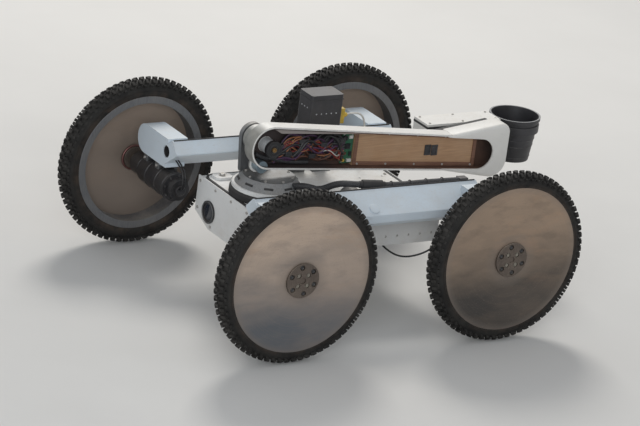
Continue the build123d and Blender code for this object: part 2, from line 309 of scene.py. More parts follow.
class Finish:
    """A material, with short calls for the nodes that the finishes share."""

    def __init__(self, name, roughness, metallic=0.0):
        self.material = bpy.data.materials.new(name)
        self.material.use_nodes = True
        self.tree = self.material.node_tree
        self.shader = self.tree.nodes["Principled BSDF"]
        self.shader.inputs["Roughness"].default_value = roughness
        self.shader.inputs["Metallic"].default_value = metallic
        coordinates = self.node("TexCoord")
        self.place = coordinates.outputs["Object"]
        self.facing = coordinates.outputs["Normal"]

    def node(self, kind, inputs=None, **settings):
        made = self.tree.nodes.new("ShaderNode" + kind)
        for name, value in settings.items():
            setattr(made, name, value)
        for name, value in (inputs or {}).items():
            self.feed(made.inputs[name], value)
        return made

    def feed(self, socket, value):
        if isinstance(value, bpy.types.NodeSocket):
            self.tree.links.new(value, socket)
        elif socket.type == "RGBA":
            socket.default_value = (*value, 1)
        else:
            socket.default_value = value

    def about(self, middle, scale=(1, 1, 1), turn=(0, 0, 0)):
        """Object coordinates measured from a point."""
        moved = self.node("VectorMath", {0: self.place, 1: tuple(middle)}, operation="SUBTRACT").outputs[0]
        return self.node("Mapping", {"Vector": moved, "Scale": scale, "Rotation": turn}).outputs[0]

    def noise(self, scale, detail=3, rough=0.55, place=None, distortion=0.0):
        inputs = {"Vector": place or self.place, "Scale": scale, "Detail": detail, "Roughness": rough,
                  "Distortion": distortion}
        return self.node("TexNoise", inputs).outputs["Fac"]

    def between(self, value, low, high, start=0.0, end=1.0):
        """A value mapped from one span to another, and held inside it."""
        inputs = {"Value": value, "From Min": low, "From Max": high, "To Min": start, "To Max": end}
        return self.node("MapRange", inputs).outputs[0]

    def maths(self, operation, first, second):
        return self.node("Math", {0: first, 1: second}, operation=operation).outputs[0]

    def times(self, first, second):
        return self.maths("MULTIPLY", first, second)

    def mix(self, share, first, second):
        mixer = self.node("Mix", data_type="RGBA")
        self.feed(mixer.inputs[0], share)
        self.feed(mixer.inputs[6], first)
        self.feed(mixer.inputs[7], second)
        return mixer.outputs[2]

    def along(self, vector, axis):
        return self.node("SeparateXYZ", {0: vector}).outputs[axis]

    def reach(self, middle):
        """Distance from an axle along Y."""
        flat = self.node("Mapping", {"Vector": self.about(middle), "Scale": (1, 0, 1)}).outputs[0]
        return self.node("VectorMath", {0: flat}, operation="LENGTH").outputs["Value"]

    def mottled(self, first, second, scale):
        return self.mix(self.between(self.noise(scale), 0.35, 0.65), first, second)

    def settled_dust(self, amount):
        """How much dust lies here: most on what faces up, in soft patches, and a little all over."""
        upward = self.between(self.along(self.facing, "Z"), 0.2, 0.95, 0.25, 1.0)
        patches = self.between(self.noise(14, 6, 0.62), 0.36, 0.68)
        specks = self.between(self.noise(190, 2, 0.6), 0.5, 0.72, 0.0, 0.5)
        share = self.times(upward, self.maths("ADD", patches, specks))
        return self.maths("MINIMUM", self.times(share, amount), 0.95)

    def splash(self, amount, top):
        """Dirt thrown up from the ground, thinning out below a height."""
        height = self.between(self.along(self.place, "Z"), 0.02, top, 1.0, 0.0)
        patches = self.between(self.noise(30, 6, 0.7), 0.38, 0.66)
        return self.times(self.times(height, patches), amount)

    def worn_edges(self, radius, amount):
        """How far an edge is rubbed bare, in broken patches along it."""
        soft = self.node("Bevel", {"Radius": radius}, samples=4).outputs[0]
        hard = self.node("NewGeometry").outputs["Normal"]
        same = self.node("VectorMath", {0: soft, 1: hard}, operation="DOT_PRODUCT").outputs["Value"]
        edge = self.between(same, 0.9, 0.99, 1.0, 0.0)
        patches = self.between(self.noise(60, 4, 0.7), 0.46, 0.6)
        return self.times(self.times(edge, patches), amount)

    def bump(self, height, strength, distance):
        made = self.node("Bump", {"Height": height, "Strength": strength, "Distance": distance})
        self.tree.links.new(made.outputs[0], self.shader.inputs["Normal"])

    def colour(self, value):
        self.feed(self.shader.inputs["Base Color"], value)

    def roughness(self, value):
        self.feed(self.shader.inputs["Roughness"], value)


def white_paint(name, base=(0.78, 0.785, 0.78), dust=0.34, shade_from=None):
    """Sprayed white over sheet, with a film of dust, rub marks, chipped edges and dirt low down.

    Past a place along X, what faces forward is darkened to grey as painted shade.
    """
    paint = Finish(name, 0.42)
    worn = paint.mottled(base, shade(base, 0.93), 9)
    # Painted shade: past a place along X, what faces forward darkens to grey.
    if shade_from is not None:
        forward = paint.between(paint.along(paint.facing, "X"), 0.3, 0.7, 0, 0.88)
        past = paint.between(paint.along(paint.place, "X"), shade_from, shade_from + 0.012)
        grey = paint.mottled((0.115, 0.12, 0.112), (0.2, 0.205, 0.19), 40)
        worn = paint.mix(paint.times(forward, past), worn, grey)
    rubs = paint.between(paint.noise(55, 5, 0.7, paint.about(ORIGIN, (1, 1, 5))), 0.6, 0.7, 0, 0.3)
    marked = paint.mix(rubs, worn, (0.46, 0.44, 0.42))
    chipped = paint.mix(paint.worn_edges(0.0022, 0.7), marked, (0.3, 0.28, 0.26))
    dust_here = paint.settled_dust(dust)
    dusty = paint.mix(dust_here, chipped, DUST)
    paint.colour(paint.mix(paint.splash(0.55, 0.22), dusty, DUST))
    paint.roughness(paint.between(dust_here, 0, 0.6, 0.36, 0.85))
    paint.bump(paint.noise(700, 2), 0.12, 0.0004)
    return paint.material


BRUSH_GRAIN = (400, 400, 30)


def bare_metal(name, base, roughness, dust, depth=0.1, shine=0.85):
    """Machined or brushed metal with fine lines and a light film of dust."""
    metal = Finish(name, roughness, shine)
    lines = metal.noise(1.0, 3, 0.6, place=metal.about(ORIGIN, BRUSH_GRAIN))
    brushed = metal.mix(metal.between(lines, 0.3, 0.7), base, shade(base, 0.72))
    dust_here = metal.settled_dust(dust)
    metal.colour(metal.mix(dust_here, brushed, DUST))
    metal.roughness(metal.between(dust_here, 0, 0.5, roughness, 0.9))
    metal.feed(metal.shader.inputs["Metallic"], metal.between(dust_here, 0, 0.5, shine, 0.1))
    metal.bump(lines, depth, 0.0003)
    return metal.material


def dark_finish(name, base, roughness, dust, grain=900, depth=0.15, wear=0.6):
    """Black paint or moulded plastic: fine grain, faded patches, greyed edges and dust that shows."""
    coat = Finish(name, roughness)
    faded = coat.mottled(base, shade(base, 1.7), 22)
    edged = coat.mix(coat.worn_edges(0.0018, wear), faded, (0.13, 0.125, 0.12))
    dust_here = coat.settled_dust(dust)
    coat.colour(coat.mix(coat.maths("MAXIMUM", dust_here, coat.splash(0.14, 0.24)), edged, DUST))
    coat.roughness(coat.between(dust_here, 0, 0.5, roughness, 0.9))
    coat.bump(coat.noise(grain, 2), depth, 0.0004)
    return coat.material


def tyre_rubber(name, hub):
    """Black rubber with pale dust rubbed on the knobs, some between them and a brown film by the rim."""
    rubber = Finish(name, 0.74)
    rubber.shader.inputs["Specular IOR Level"].default_value = 0.3
    reach = rubber.reach(hub)
    base = rubber.mottled((0.007, 0.0065, 0.0062), (0.018, 0.017, 0.0155), 35)
    grit = rubber.between(rubber.noise(420, 3, 0.7), 0.46, 0.68)
    patches = rubber.between(rubber.noise(26, 6, 0.7), 0.4, 0.68)
    packed = rubber.times(rubber.between(reach, 0.182, 0.192), rubber.times(patches, 0.08))
    crown = rubber.times(rubber.between(reach, 0.1966, 0.1998), rubber.times(grit, 0.34))
    dusty = rubber.mix(rubber.maths("MAXIMUM", packed, crown), base, (0.4, 0.37, 0.34))
    film = rubber.times(patches, rubber.between(reach, 0.164, 0.18, 0.42, 0.0))
    rubber.colour(rubber.mix(film, dusty, (0.125, 0.085, 0.062)))
    rubber.bump(rubber.noise(600, 3, 0.7), 0.35, 0.0005)
    return rubber.material


def disc_sheet(name, hub, out, top, low):
    """Thin metal under a film of dust, tan above and grey low down, the grey partly painted shade, with
    smears, rust stains, rings, grit and painted shade by the rim and hub.
    """
    sheet = Finish(name, 0.5, 0.25)
    at = sheet.about(hub)
    smeared = sheet.node("Mapping", {"Vector": at, "Location": tuple(4 * hub), "Scale": (0.5, 1, 1.4),
                                     "Rotation": (0, 0.3, 0)}).outputs[0]
    reach = sheet.reach(hub)
    lowness = sheet.between(sheet.along(at, "Z"), -0.12, 0.115, 1.0, 0.0)
    torn = sheet.between(sheet.noise(6, 4, 0.55, smeared), 0.3, 0.7, -0.17, 0.17)
    ragged = sheet.maths("ADD", lowness, torn)
    # Tan above, darker and greyer low down: partly dust, partly painted shade.
    film = sheet.mix(sheet.between(ragged, 0, 1), top, low)
    above = sheet.between(lowness, 0.25, 0.8, 1.0, 0.15)
    clouds = sheet.times(above, sheet.between(sheet.noise(14, 6, 0.62, smeared), 0.42, 0.66, 0, 0.5))
    cloudy = sheet.mix(clouds, film, shade(top, 1.22))
    grime = sheet.between(sheet.noise(19, 6, 0.66, smeared), 0.5, 0.72, 0, 0.34)
    grimy = sheet.mix(grime, cloudy, shade(low, 0.75))
    rust = sheet.times(above, sheet.between(sheet.noise(11, 5, 0.62, smeared), 0.54, 0.7, 0, 0.45))
    rusty = sheet.mix(rust, grimy, (0.4, 0.245, 0.15))
    stripes = sheet.node("CombineXYZ", {"X": sheet.times(reach, 210)}).outputs[0]
    rings = sheet.between(sheet.noise(1.0, 3, 0.6, stripes), 0.48, 0.72, 0, 0.16)
    ringed = sheet.mix(rings, rusty, shade(top, 0.62))
    # Painted shade: darker in the corner by the rim lip and round the hub.
    rim_shade = sheet.between(reach, 0.152, 0.168, 0, 0.45)
    hub_shade = sheet.between(reach, 0.041, 0.07, 0.5, 0)
    edged = sheet.mix(sheet.maths("MAXIMUM", rim_shade, hub_shade), ringed, (0.2, 0.165, 0.14))
    grit = sheet.between(sheet.noise(330, 2, 0.6, at), 0.62, 0.72, 0, 0.5)
    gritty = sheet.mix(grit, edged, (0.2, 0.17, 0.15))
    inside = sheet.between(sheet.times(sheet.along(sheet.facing, "Y"), -out), 0.2, 0.8, 0, 0.6)
    sheet.colour(sheet.mix(inside, gritty, (0.215, 0.17, 0.14)))
    sheet.roughness(sheet.between(clouds, 0, 0.5, 0.42, 0.66))
    sheet.bump(sheet.noise(260, 4, 0.6, at), 0.1, 0.0006)
    return sheet.material


DISC_DUST_AND_SHADE = {
    # colour over the disc's upper part and low down: partly dust, partly painted shade darkening the low
    # part
    ("front", "left"): ((0.44, 0.34, 0.265), (0.105, 0.113, 0.125)),
    ("rear", "left"): ((0.31, 0.226, 0.162), (0.05, 0.045, 0.041)),
    ("front", "right"): ((0.375, 0.29, 0.225), (0.19, 0.165, 0.145)),
    ("rear", "right"): ((0.4, 0.31, 0.24), (0.19, 0.165, 0.145)),
}


def panel_sheet(name, light, dark, worn):
    """Tan sheet with faint lengthwise grain and handling marks."""
    sheet = Finish(name, 0.62)
    grain = sheet.noise(1.0, 5, 0.6, place=sheet.about(ORIGIN, (14, 60, 260)), distortion=0.6)
    grained = sheet.mix(sheet.between(grain, 0.32, 0.7), light, dark)
    clouds = sheet.between(sheet.noise(18, 4), 0.38, 0.66, 0, 0.35)
    sheet.colour(sheet.mix(clouds, grained, worn))
    sheet.bump(grain, 0.15, 0.0004)
    return sheet.material


def tray_lining(name):
    """Brown sheet, with painted shade darkening it behind the leads and past the panel."""
    sheet = Finish(name, 0.66)
    clouds = sheet.mottled((0.135, 0.072, 0.048), (0.085, 0.045, 0.032), 20)
    # Painted shade: darker towards the shoulder end and past the panel, deep in the tray.
    towards = sheet.between(sheet.along(sheet.place, "X"), 0.0, 0.09)
    dark = sheet.mix(towards, clouds, (0.038, 0.027, 0.026))
    elbow_end_shade = sheet.between(sheet.along(sheet.place, "X"), -0.372, -0.322, 0.75, 0.0)
    sheet.colour(sheet.mix(elbow_end_shade, dark, (0.03, 0.026, 0.024)))
    sheet.bump(sheet.noise(300, 3), 0.1, 0.0004)
    return sheet.material


def wire_cover(name, base):
    cover = Finish(name, 0.38)
    cover.colour(cover.mottled(base, shade(base, 0.7), 60))
    cover.bump(cover.noise(300, 2), 0.05, 0.0003)
    return cover.material


def board_green(name):
    """Circuit board: solder mask with fine tracks."""
    board = Finish(name, 0.35)
    lying = board.about(ORIGIN, (1, 1, 1), (math.pi / 2, 0, 0))
    tracks = board.node("TexBrick", {"Vector": lying, "Scale": 190.0, "Mortar Size": 0.05}).outputs["Fac"]
    board.colour(board.mix(board.times(tracks, 0.6), (0.018, 0.088, 0.046), (0.055, 0.175, 0.095)))
    return board.material


def braided_sleeve(name):
    """Black woven sleeve over a loom."""
    sleeve = Finish(name, 0.6)
    weave = sleeve.node("TexChecker", {"Vector": sleeve.about(ORIGIN, (1, 1, 1), (0.5, 0.5, 0.8)),
                                       "Scale": 420.0}).outputs["Fac"]
    sleeve.colour(sleeve.mix(weave, (0.014, 0.014, 0.016), (0.04, 0.04, 0.043)))
    sleeve.bump(weave, 0.4, 0.0005)
    return sleeve.material


WHITE = white_paint("White paint")
# The rockers' pale blue is a painted sky reflection on shaded white paint.
WHITE_ROCKER_SKY_TINT = white_paint("White paint on the rockers", (0.64, 0.72, 0.79), 0.22)
WHITE_ARM = white_paint("White paint on the arm", (0.8, 0.785, 0.75), 0.22)
# The channel's forward faces past the shoulder get painted shade in grey.
WHITE_CHANNEL = white_paint("White paint on the arm channel", (0.8, 0.785, 0.75), 0.22, SHOULDER_AT.x)
GREY_METAL = bare_metal("Grey machined metal", (0.2, 0.21, 0.22), 0.46, 0.2)
BLUE_METAL = bare_metal("Blue-grey motor case", (0.3, 0.38, 0.43), 0.35, 0.15)
BRIGHT_METAL = bare_metal("Bright turned metal", (0.74, 0.76, 0.77), 0.28, 0.05, depth=0.03)
# The shoulder pin's silver is lightened to near white, partly as painted sunlight.
SILVER = bare_metal("Bright silver with painted light", (0.9, 0.92, 0.93), 0.34, 0.04, depth=0.03, shine=0.25)
BRASS = bare_metal("Brass plug", (0.33, 0.2, 0.075), 0.4, 0.2)
RIM_METAL = bare_metal("Rim metal", (0.17, 0.175, 0.185), 0.5, 0.3, shine=0.6)
HUB_METAL = bare_metal("Hub metal", (0.135, 0.11, 0.095), 0.5, 0.35)
ZINC = bare_metal("Zinc fasteners", (0.5, 0.49, 0.47), 0.35, 0.3)
DULL_STEEL = bare_metal("Dull hub bolts", (0.27, 0.25, 0.215), 0.5, 0.35)
COPPER = bare_metal("Copper ring", (0.17, 0.075, 0.072), 0.42, 0.2)
MOTOR_BLACK = dark_finish("Motor black", (0.012, 0.012, 0.014), 0.34, 0.06, wear=0.12)
BLACK_PLASTIC = dark_finish("Black plastic", (0.018, 0.018, 0.021), 0.45, 0.07)
SEAL_BLACK = dark_finish("Seal black", (0.01, 0.01, 0.011), 0.7, 0.04, wear=0.3)
GLASS_BLACK = dark_finish("Dark window", (0.01, 0.014, 0.022), 0.08, 0.05, 40, 0.0)
PALE_PLASTIC = wire_cover("Pale worn plastic", (0.42, 0.43, 0.44))
YELLOW = wire_cover("Yellow plastic", (0.62, 0.42, 0.05))
TAN_PANEL = panel_sheet("Tan panel", (0.5, 0.305, 0.172), (0.36, 0.21, 0.115), (0.53, 0.36, 0.235))
BROWN_FRAME = panel_sheet("Brown frame", (0.205, 0.098, 0.06), (0.13, 0.062, 0.04), (0.26, 0.15, 0.1))
TRAY_LINING = tray_lining("Tray lining")
BOARD = board_green("Circuit board")
SLEEVE = braided_sleeve("Loom sleeve")
WIRE_COLOURS = {
    "red": (0.25, 0.018, 0.016),
    "orange": (0.4, 0.17, 0.08),
    "yellow": (0.52, 0.34, 0.05),
    "black": (0.016, 0.016, 0.018),
    "purple": (0.06, 0.022, 0.066),
    "white": (0.66, 0.64, 0.6),
    "brown": (0.115, 0.045, 0.026),
}
WIRE = {name: wire_cover(f"{name.title()} wire", colour) for name, colour in WIRE_COLOURS.items()}

CAD_FINISHES = (
    (WHITE, "tub front_plate rear_plate deck deck_clamps turntable"),
    (WHITE_ROCKER_SKY_TINT, "rocker_left rocker_right"),
    (WHITE_ARM, "elbow_fairing forearm forearm_lid"),
    (WHITE_CHANNEL, "arm_channel"),
    (GREY_METAL, "motor_saddles pivot_blocks radio_stand shoulder_bracket"),
    (ZINC, "pivot_shafts"),
    (SILVER, "shoulder_pin"),
    (BLUE_METAL, "shoulder_motor"),
    (BRIGHT_METAL, "elbow_pin"),
    (MOTOR_BLACK, "front_port"),
    (SEAL_BLACK, "deck_seal turntable_base"),
    (BLACK_PLASTIC, "battery radio_box loom_glands bucket bucket_band"),
    (YELLOW, "radio_plug"),
    (SLEEVE, "deck_loom"),
    (TAN_PANEL, "arm_panel"),
)
EDGE_WELD = 0.00001
EDGE_ROUND = 0.0008


def dress(name, paint):
    """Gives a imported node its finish, and a small round on its sharp edges."""
    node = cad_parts[name]
    node.data.materials.clear()
    node.data.materials.append(paint)
    node.modifiers.new("Weld", "WELD").merge_threshold = EDGE_WELD
    edges = node.modifiers.new("Edges", "BEVEL")
    edges.width = EDGE_ROUND
    edges.segments = 2
    edges.limit_method = "ANGLE"
    edges.angle_limit = math.radians(40)
    node.modifiers.new("Flats", "WEIGHTED_NORMAL")
    select_only(node)
    bpy.ops.object.shade_smooth()


def dress_construction():
    for paint, names in CAD_FINISHES:
        for name in names.split():
            dress(name, paint)
    for end, side in WHEELS:
        sheet = disc_sheet(f"Disc sheet {end} {side}", HUB_AT[end, side], SIDES[side], *DISC_DUST_AND_SHADE[end, side])
        for name, paint in (("rim", RIM_METAL), ("disc", sheet), ("hub", HUB_METAL), ("motor", MOTOR_BLACK)):
            dress(f"{name}_{end}_{side}", paint)


# Screws

SCREW_HEADS = {
    # radius and height
    "motor_screws": (0.0026, 0.0022), "saddle_screws": (0.0034, 0.0024), "plate_screws": (0.0032, 0.0022),
    "deck_screws": (0.0036, 0.0024), "radio_screws": (0.0026, 0.0008), "pedestal_screws": (0.003, 0.0026),
    "panel_screws": (0.0024, 0.0016), "lid_screws": (0.0028, 0.0018), "band_screws": (0.003, 0.0024),
}


def write_screws(kind, spots, body="chassis", where="", paint=ZINC):
    """Cap screws of one kind, one at each (place, direction)."""
    fix(scatter(cap_screw(*SCREW_HEADS[kind]), spots), kind + where, paint, body)


# Wheels

KNOB_PITCHES = 70
CARCASS_R = 0.1708
CARCASS_HALF = 0.023
KNOB_HEIGHT = 0.0058
SECTION_FACES = 24


def tyre():
    """A ring with staggered knobs raised from its faces, and a moulded line round each sidewall."""
    piece = hoop(ORIGIN, (0, 1, 0), CARCASS_R, CARCASS_HALF, 2 * KNOB_PITCHES, SECTION_FACES)

    def section(at):
        reach = math.hypot(at.x, at.z)
        step = int((math.atan2(at.z, at.x) % (2 * math.pi)) / (math.pi / KNOB_PITCHES))
        return step % 2, abs(math.degrees(math.atan2(at.y, reach - CARCASS_R)))

    def knob(at, facing):
        odd, lean = section(at)
        return 15 < lean < 45 if odd else lean < 15 or 45 < lean < 60

    open_faces(piece)
    pick(lambda at, facing: 75 < section(at)[1] < 90)
    bpy.ops.mesh.inset(thickness=0.0022)
    push(-0.0007)
    pick(knob)
    bpy.ops.mesh.inset(thickness=0.0009)
    push(KNOB_HEIGHT)
    bpy.ops.mesh.inset(thickness=0.0007)
    push(0.0003)
    close_faces()
    return piece


def on_wheels(model, name, paint, stands_for=None):
    """Copies a model, drawn about the origin with its outer side towards +Y, onto each wheel."""
    for end, side in WHEELS:
        turn = None if side == "left" else Quaternion((0, 0, 1), math.pi)
        piece = duplicate(model, HUB_AT[end, side], turn)
        own_paint = paint[end, side] if isinstance(paint, dict) else paint
        fix(piece, f"{name}_{end}_{side}", own_paint, f"wheel_{end}_{side}", 40)
        if stands_for:
            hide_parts(f"{stands_for}_{end}_{side}")
    bpy.data.objects.remove(model)


def write_tyres():
    rubber = {(end, side): tyre_rubber(f"Rubber {end} {side}", HUB_AT[end, side]) for end, side in WHEELS}
    on_wheels(tyre(), "tyre_tread", rubber, "tyre")


HUB_LENGTHS = (
    # from, to and radius of each length of the hub, from the shaft to the outer flange
    (-0.052, 0.0111, 0.01),
    (0.011, 0.021, 0.026),
    (0.0209, 0.0242, 0.0198),
    (0.024, HUB_FACE, 0.04),
)
HUB_HEADS = (
    # name, finish, model, its radius and height, count, ring radius, first angle, bore radius, bore depth
    ("hub_screws", MOTOR_BLACK, cap_screw, (0.0046, 0.0022), 6, 0.0305, 0.35, 0.0062, 0.0036),
    ("hub_bolts", DULL_STEEL, hex_bolt, (0.004, 0.0024), 4, 0.0165, 0.8, 0.0058, 0.0026),
)
CENTRE_BORE = (0.0072, 0.0022)
COPPER_RING_Y = 0.0155
COPPER_RING = (0.0283, 0.0027)


def bore(piece, place, radius, depth):
    """Sinks a flat-bottomed round hole from a place on a face that looks towards +Y."""
    place = Vector(place)
    cut_away(piece, rod(place - Vector((0, depth, 0)), place + Vector((0, 0.002, 0)), radius, 32))


def write_hubs():
    """The hub with its sunk screws and bolts, and the copper ring round its back flange."""
    out, face = (0, 1, 0), Vector((0, HUB_FACE, 0))
    lengths = [rod((0, low, 0), (0, high, 0), radius, 64) for low, high, radius in HUB_LENGTHS]
    for length in lengths:
        round_edges(length, 0.0005, 1)
    flange = lengths[-1]
    for *_, count, ring, start, radius, depth in HUB_HEADS:
        for place, _ in ring_spots(face, ring, count, out, start):
            bore(flange, place, radius, depth)
    bore(flange, face, *CENTRE_BORE)
    on_wheels(join(lengths), "hub_turned", HUB_METAL, "hub")
    for name, paint, model, size, count, ring, start, _, depth in HUB_HEADS:
        spots = ring_spots(face - Vector((0, depth, 0)), ring, count, out, start)
        on_wheels(scatter(model(*size), spots), name, paint)
    on_wheels(hoop((0, COPPER_RING_Y, 0), out, *COPPER_RING, 72, 12), "hub_ring", COPPER)


# Drive motors and rockers

MOTOR_BACK = 0.178
MOTOR_SCREW_RING = 0.0283
MOTOR_BANDS = ((0.186, 0.0324), (0.22, 0.0324), (0.264, 0.0324), (0.31, 0.0269))
MOTOR_BAND_R = 0.0012
NOSE_FROM, NOSE_TO = 0.158, 0.152
NOSE_R = 0.0125
NOSE_DISH = (0.0025, -0.003)
MOTOR_LEAD = ((0.154, 0.004), (0.145, 0.008), (0.143, 0.03), (0.152, 0.052), (0.188, 0.064))
MOTOR_LEAD_R = 0.0018
LEAD_SHIFTS = (-0.003, 0.003)
SEAM_AT = (0.1823, 0.3112)
SEAM_R = 0.0019
SEAM_SHORT = 0.004
SOCKET_AT = (0.203, 0.279)
SOCKET_R = 0.0138
SOCKET_FROM, SOCKET_TO = 0.023, 0.002
SOCKET_DISH = (0.0022, -0.015)
SADDLE_SCREWS_AT = (0.237, 0.291)
SADDLE_SCREW_Z = 0.2335
FACE_SLOPE = Vector((0, 0.587, 0.81))
PIVOT_COVER_AT = (0.075, 0.2254, 0.2806)
PIVOT_COVER_R = 0.0125
PIVOT_COVER_SUNK, PIVOT_COVER_PROUD = 0.001, 0.0024


def write_motors():
    """Each motor's screws, bands and rear plug, and the two leads up to its rocker."""
    for end, side in WHEELS:
        x, z, out = HUB_AT[end, side].x, HUB_AT[end, side].z, SIDES[side]
        where = f"_{end}_{side}"
        spots = ring_spots((x, out * MOTOR_BACK, z), MOTOR_SCREW_RING, 8, (0, -out, 0), 0.2)
        write_screws("motor_screws", spots, where=where, paint=BLACK_PLASTIC)
        bands = [hoop((x, out * y, z), (0, 1, 0), radius, MOTOR_BAND_R) for y, radius in MOTOR_BANDS]
        fix(join(bands), "motor_bands" + where, MOTOR_BLACK)
        nose = rod((x, out * NOSE_FROM, z), (x, out * NOSE_TO, z), NOSE_R, 32)
        stepped(nose, (0, -out, 0), (NOSE_DISH,))
        fix(round_edges(nose, 0.0008), "motor_nose" + where, BLACK_PLASTIC)
        routes = [[(x + shift, out * y, z + rise) for y, rise in MOTOR_LEAD] for shift in LEAD_SHIFTS]
        wires("motor_leads" + where, routes, MOTOR_LEAD_R, WIRE["black"])


def write_rockers():
    """Each rocker's seam, the dark sockets in its ends, the cover over its pivot and its saddles' screws."""
    low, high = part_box("rocker_left")
    for side, out in SIDES.items():
        y, z = SEAM_AT
        bead = rod((low.x + SEAM_SHORT, out * y, z), (high.x - SEAM_SHORT, out * y, z), SEAM_R, 12)
        fix(bead, f"rocker_seam_{side}", SEAL_BLACK)
        plugs, spots = [], []
        y, z = SOCKET_AT
        for end_x, forward in ((high.x, 1), (low.x, -1)):
            inner, outer = end_x - forward * SOCKET_FROM, end_x - forward * SOCKET_TO
            plug = rod((inner, out * y, z), (outer, out * y, z), SOCKET_R, 40)
            plugs.append(stepped(plug, (forward, 0, 0), (SOCKET_DISH,)))
            spots += [((end_x, out * y_at, SADDLE_SCREW_Z), (forward, 0, 0)) for y_at in SADDLE_SCREWS_AT]
        fix(join(plugs), f"rocker_sockets_{side}", SEAL_BLACK)
        write_screws("saddle_screws", spots, where=f"_{side}")
        slope = Vector((0, out * FACE_SLOPE.y, FACE_SLOPE.z))
        x, y, z = PIVOT_COVER_AT
        seat = Vector((x, out * y, z))
        cover = rod(seat - slope * PIVOT_COVER_SUNK, seat + slope * PIVOT_COVER_PROUD, PIVOT_COVER_R, 48)
        fix(round_edges(cover, 0.0011, 3), f"pivot_cover_{side}", WHITE_ROCKER_SKY_TINT)


# Tub and deck

TUB_SIDE_Y = 0.15
TUB_X = (-0.152, 0.302)
PLATE_X = {1: 0.305, -1: -0.155}
PLATE_SCREWS = ((-0.138, 0.23), (-0.07, 0.23), (0.0, 0.23), (0.07, 0.23), (0.138, 0.23),
                (-0.138, 0.166), (0.138, 0.166), (-0.075, 0.141), (0.075, 0.141))
RIVET_Z = 0.178
RIVETS = 15
RIVET_MARGIN = 0.015
PORT_AT = (-0.088, 0.172)
LENS_R = 0.0208
LENS_STEPS = ((0.0035, 0.0009), (0.005, 0.0006), (0.0055, 0.0003))
PORT_RIM = (0.0235, 0.0011)
CLAMP_AT = ((0.263, 0.118), (0.263, -0.118), (-0.113, 0.118), (-0.113, -0.118))
CLAMP_RISE = 0.006
DECK_SCREWS = ((-0.055, 0.132), (0.165, 0.132), (-0.055, -0.132), (0.165, -0.132),
               (-0.134, -0.06), (-0.134, 0.06))


def write_tub():
    """Rivets along the tub's sides, screws in its end plates, and the front port's domed window."""
    first = TUB_X[0] + RIVET_MARGIN
    pitch = (TUB_X[1] - TUB_X[0] - 2 * RIVET_MARGIN) / (RIVETS - 1)
    spots = [((first + pitch * i, out * TUB_SIDE_Y, RIVET_Z), (0, out, 0))
             for out in SIDES.values() for i in range(RIVETS)]
    fix(scatter(dome_rivet(0.0026, 0.0018), spots), "tub_rivets", ZINC)
    spots = [((PLATE_X[way], y, z), (way, 0, 0)) for way in ENDS.values() for y, z in PLATE_SCREWS]
    write_screws("plate_screws", spots)
    plate, (y, z) = PLATE_X[1], PORT_AT
    lens = rod((plate - 0.001, y, z), (plate + 0.0012, y, z), LENS_R, 48)
    open_faces(lens)
    pick_towards((1, 0, 0))
    for inset, rise in LENS_STEPS:
        bpy.ops.mesh.inset(thickness=inset)
        bpy.ops.transform.translate(value=(rise, 0, 0))
    close_faces()
    fix(lens, "port_lens", GLASS_BLACK, smooth=60)
    fix(hoop((plate + 0.0036, y, z), (1, 0, 0), *PORT_RIM), "port_rim", GREY_METAL)


def write_deck():
    spots = [((x, y, DECK_TOP + CLAMP_RISE), (0, 0, 1)) for x, y in CLAMP_AT]
    fix(scatter(hex_bolt(0.0065, 0.005), spots), "clamp_bolts", ZINC)
    write_screws("deck_screws", [((x, y, DECK_TOP), (0, 0, 1)) for x, y in DECK_SCREWS])


RADIO_LOW, RADIO_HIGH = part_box("radio_box")
LID_LINE_Z = (0.418, 0.4196)
FRONT_LIGHTS_Y = (-0.132, -0.12, -0.108)
FRONT_LIGHTS_Z = 0.398
SIDE_LIGHTS_Z = 0.386
SIDE_LIGHTS_FROM, SIDE_LIGHTS_PITCH = 0.016, 0.013
RADIO_SCREW_INSET = 0.009
RADIO_PLUG_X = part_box("radio_plug")[0].x
RADIO_PLUG_AT = (-0.119, 0.37)
RADIO_LEAD = (
    # distance from the plug along X, then the place along Y and Z
    (-0.009, -0.119, 0.37), (-0.03, -0.119, 0.374), (-0.056, -0.118, 0.366),
    (-0.066, -0.117, 0.328), (-0.06, -0.116, 0.285), (-0.058, -0.115, 0.244),
)
THIN_LEAD_R = 0.0022


def write_radio():
    """Lid line, screws and small lights on the radio box, its plug's collar and the pale lead from it."""
    low, high, proud = RADIO_LOW, RADIO_HIGH, 0.0005
    lid = block((low.x - proud, low.y - proud, LID_LINE_Z[0]),
                (high.x + proud, high.y + proud, LID_LINE_Z[1]))
    fix(round_edges(lid, 0.0003, 1), "radio_lid_line", SEAL_BLACK)
    spots = [((low.x + SIDE_LIGHTS_FROM + SIDE_LIGHTS_PITCH * i, high.y, SIDE_LIGHTS_Z), (0, 1, 0))
             for i in range(5)]
    spots += [((high.x, y, FRONT_LIGHTS_Z), (1, 0, 0)) for y in FRONT_LIGHTS_Y]
    fix(scatter(dome_rivet(0.0017, 0.0012), spots), "radio_lights", PALE_PLASTIC)
    inset, top = RADIO_SCREW_INSET, high.z - 0.0008
    spots = [((x, y, top), (0, 0, 1)) for x in (low.x + inset, high.x - inset)
             for y in (low.y + inset, high.y - inset)]
    write_screws("radio_screws", spots)
    collar = rod((RADIO_PLUG_X + 0.001, *RADIO_PLUG_AT), (RADIO_PLUG_X - 0.008, *RADIO_PLUG_AT), 0.0058, 24)
    stepped(collar, (-1, 0, 0), ((0.0016, 0.003),))
    fix(round_edges(collar, 0.0005), "radio_plug_collar", YELLOW)
    route = [(RADIO_PLUG_X + x, y, z) for x, y, z in RADIO_LEAD]
    wires("radio_lead", [route], THIN_LEAD_R, WIRE["white"])
    foot_x, foot_y, _ = route[-1]
    foot = rod((foot_x, foot_y, DECK_TOP), (foot_x, foot_y, DECK_TOP + 0.009), 0.0065, 24)
    stepped(foot, (0, 0, 1), ((0.0022, 0.004),))
    fix(round_edges(foot, 0.0005), "radio_lead_foot", BLACK_PLASTIC)


